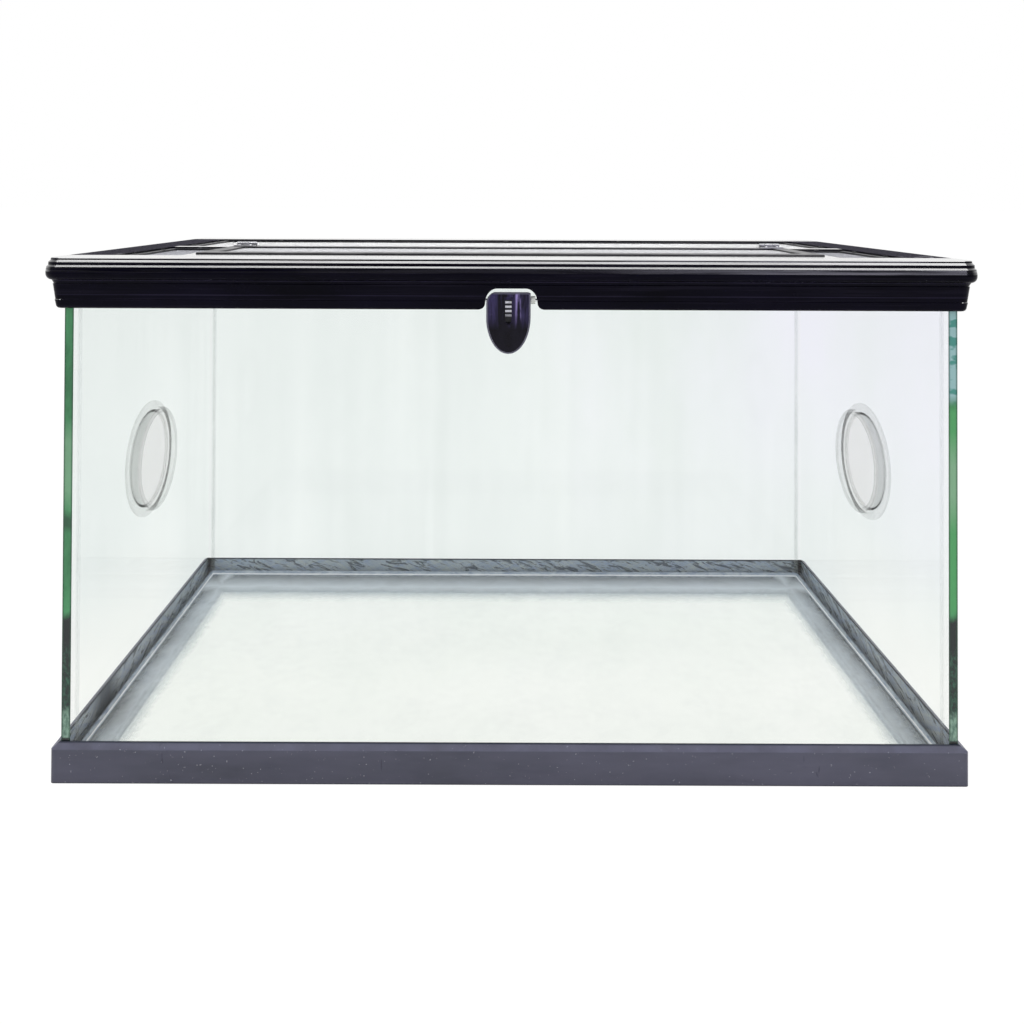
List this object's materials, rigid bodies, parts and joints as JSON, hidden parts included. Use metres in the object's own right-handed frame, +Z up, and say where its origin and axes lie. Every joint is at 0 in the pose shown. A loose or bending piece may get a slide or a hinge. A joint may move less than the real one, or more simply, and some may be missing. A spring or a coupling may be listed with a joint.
{
  "type": "reptile terrarium",
  "caption": "Glass reptile tank with round mesh side vents, a moulded base, and a black cornice lid hinged at the back, with mesh windows, a feeding door and a swinging tongue latch.",
  "frame": {"origin": "centre of the base frame's underside", "axes": "+Z up, X across the tank's width, -Y towards the latch at the front"},
  "size_m": [0.624, 0.324, 0.3528],
  "materials": {
    "base_plastic": "satin moulded plastic, purple-grey",
    "clear_glass": "clear float glass with green edges",
    "silicone": "translucent silicone bead",
    "vent_plastic": "translucent grey plastic",
    "vent_gauze": "fine woven steel gauze",
    "lid_plastic": "gloss black moulded plastic",
    "frame_plastic": "satin black plastic",
    "steel_mesh": "fine woven steel mesh",
    "pin_steel": "drawn steel rod",
    "hinge_steel": "plated pressed steel",
    "black_screws": "blackened steel",
    "bush_plastic": "natural white plastic",
    "adhesive_tape": "clear foam tape",
    "latch_plastic": "gloss dark violet-black plastic",
    "slider_plastic": "gloss dark plastic"
  },
  "bodies": {
    "tank": {"base_frame": "base_plastic", "bottom_glass": "clear_glass", "front_glass": "clear_glass", "back_glass": "clear_glass", "left_glass": "clear_glass", "right_glass": "clear_glass", "corner_seals": "silicone", "floor_seal": "silicone", "left_vent_outer": "vent_plastic", "left_vent_inner": "vent_plastic", "left_vent_mesh": "vent_gauze", "right_vent_outer": "vent_plastic", "right_vent_inner": "vent_plastic", "right_vent_mesh": "vent_gauze", "left_hinge_bracket": "lid_plastic", "right_hinge_bracket": "lid_plastic", "left_hinge_pin": "pin_steel", "right_hinge_pin": "pin_steel", "hinge_pads": "adhesive_tape", "latch_keeper": "lid_plastic", "keeper_pad": "adhesive_tape"},
    "lid": {"lid_frame": "lid_plastic", "rear_mesh": "steel_mesh", "left_mesh": "steel_mesh", "right_mesh": "steel_mesh", "rear_retainer": "frame_plastic", "left_retainer": "frame_plastic", "right_retainer": "frame_plastic", "retainer_screws": "black_screws", "latch_pin": "pin_steel", "latch_bush": "bush_plastic", "left_door_hinge_base": "hinge_steel", "right_door_hinge_base": "hinge_steel", "left_door_hinge_pin": "pin_steel", "right_door_hinge_pin": "pin_steel"},
    "door": {"door_frame": "frame_plastic", "door_mesh": "steel_mesh", "door_retainer": "frame_plastic", "door_screws": "black_screws", "left_door_hinge_leaf": "hinge_steel", "right_door_hinge_leaf": "hinge_steel", "door_hinge_screws": "hinge_steel"},
    "tongue": {"latch_tongue": "latch_plastic"},
    "slider": {"latch_slider": "slider_plastic", "slider_clip": "slider_plastic"}
  },
  "joints": [
    {"name": "lid_hinge", "type": "hinge", "parent": "tank", "child": "lid", "pos_m": [0, 0.156, 0.306], "axis": [-1, 0, 0], "range_deg": [0, 100]},
    {"name": "door_hinge", "type": "hinge", "parent": "lid", "child": "door", "pos_m": [0, -0.014, 0.3512], "axis": [-1, 0, 0], "range_deg": [0, 110]},
    {"name": "tongue_hinge", "type": "hinge", "parent": "lid", "child": "tongue", "pos_m": [-0.002, -0.1545, 0.3212], "axis": [-1, 0, 0], "range_deg": [-5.2, 45]},
    {"name": "slider_slide", "type": "slide", "parent": "tongue", "child": "slider", "axis": [0, 0, -1], "range_m": [0, 0.004]}
  ]
}
